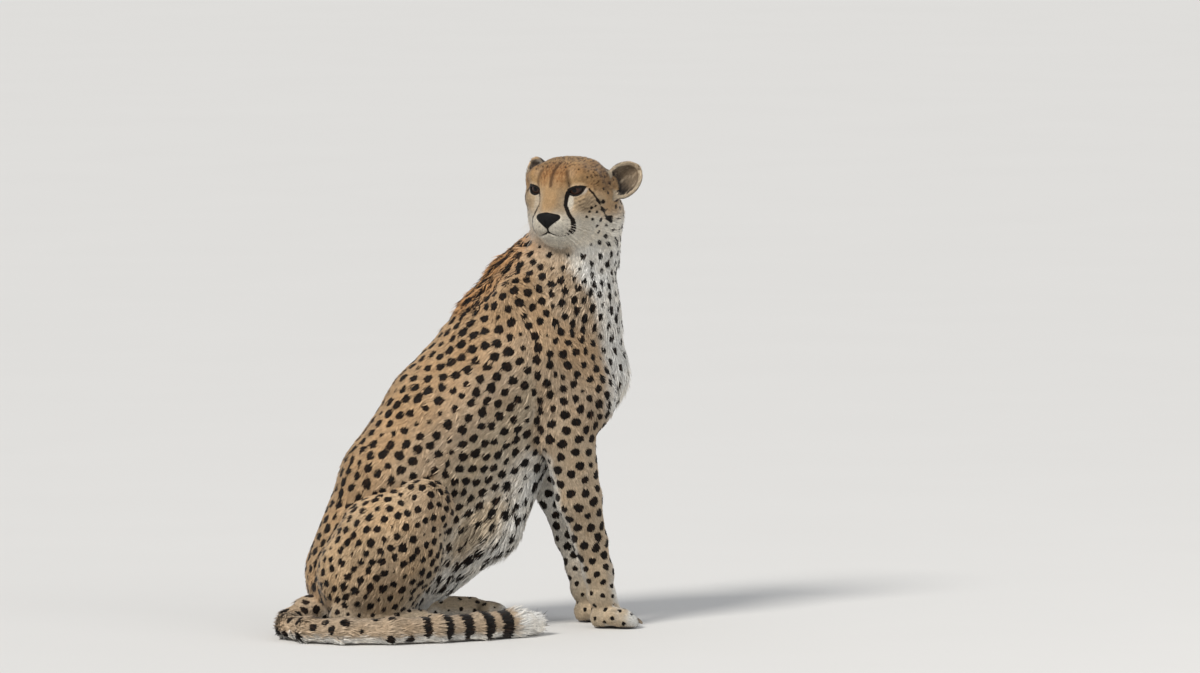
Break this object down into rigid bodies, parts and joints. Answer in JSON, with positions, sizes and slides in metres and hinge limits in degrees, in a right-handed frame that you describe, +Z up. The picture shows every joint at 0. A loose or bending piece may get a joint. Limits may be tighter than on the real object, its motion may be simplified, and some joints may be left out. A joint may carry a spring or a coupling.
{
  "type": "cheetah",
  "caption": "Life-size still model of a spotted cheetah sitting upright, forelegs straight, head turned back over its right shoulder, tail laid forward on the floor.",
  "frame": {"origin": "on the floor, under the middle of the bounding box", "axes": "+X the way the body faces, +Y its left side, +Z up and the longest extent"},
  "size_m": [0.7234, 0.4548, 0.8943],
  "materials": {
    "coat": "short matt fur, tan with black spots, white below",
    "ear_fur": "short matt fur, pale within",
    "tail_end_fur": "longer matt fur, white",
    "nose_leather": "bare damp skin, near black",
    "eye": "clear and wet, amber brown iris",
    "claw": "horn, worn smooth"
  },
  "bodies": {
    "root": {"head": "coat", "neck": "coat", "forefoot_left": "coat", "forefoot_right": "coat", "forearm_left": "coat", "forearm_right": "coat", "hindfoot_left": "coat", "hindfoot_right": "coat", "shank_left": "coat", "shank_right": "coat", "thigh_left": "coat", "thigh_right": "coat", "shoulder_left": "coat", "shoulder_right": "coat", "loins": "coat", "chest": "coat", "tail_base": "coat", "tail_middle": "coat", "tail_end": "coat", "tail_tip": "tail_end_fur", "nose": "nose_leather", "ear_left": "ear_fur", "eye_left": "eye", "ear_right": "ear_fur", "eye_right": "eye"}
  },
  "joints": []
}
